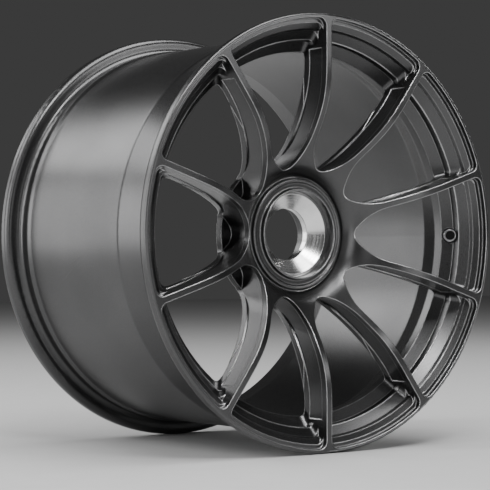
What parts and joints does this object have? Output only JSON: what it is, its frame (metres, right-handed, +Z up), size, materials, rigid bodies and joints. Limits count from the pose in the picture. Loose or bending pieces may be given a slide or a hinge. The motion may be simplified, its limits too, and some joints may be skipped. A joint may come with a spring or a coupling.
{
  "type": "wheel rim",
  "caption": "Forged one-piece centre-lock racing wheel with slim pocketed spokes, a stepped lip, a deep barrel, a conical nut seat, drive pin bushes and a flush valve.",
  "frame": {"origin": "centre of the wheel, on its axis halfway between the two rim lips", "axes": "+Y along the wheel's axis towards the vehicle, the street face towards -Y, +Z up with one spoke straight up, the valve towards +X"},
  "size_m": [0.4712, 0.2968, 0.4712],
  "materials": {
    "forging": "satin gunmetal metallic coat",
    "nut_seat": "fine turned",
    "bush": "ground",
    "valve_metal": "dark anodised",
    "valve_nut": "grey anodised",
    "washer": "black zinc",
    "core_brass": "turned",
    "spring_steel": "drawn wire",
    "seal": "matt",
    "cap": "moulded"
  },
  "bodies": {
    "wheel": {"wheel_forging": "forging", "nut_seat_insert": "nut_seat", "drive_bush_1": "bush", "drive_bush_2": "bush", "drive_bush_3": "bush", "drive_bush_4": "bush", "drive_bush_5": "bush", "valve_body": "valve_metal", "valve_seal": "seal", "valve_washer": "washer", "valve_nut": "valve_nut", "valve_core_shell": "core_brass", "valve_core_spring": "spring_steel"},
    "core_pin": {"valve_core_pin": "core_brass", "valve_core_seal": "seal"},
    "cap": {"valve_cap": "cap", "valve_cap_seal": "seal"}
  },
  "joints": [
    {"name": "cap_off", "type": "slide", "parent": "wheel", "child": "cap", "axis": [-0.5949, -0.8038, 0], "range_m": [0, 0.012]},
    {"name": "core_press", "type": "slide", "parent": "wheel", "child": "core_pin", "axis": [0.5949, 0.8038, 0], "range_m": [0, 0.0015], "stiffness_N_per_m": 300, "springref_m": -0.001, "deforming": ["valve_core_spring"]}
  ]
}
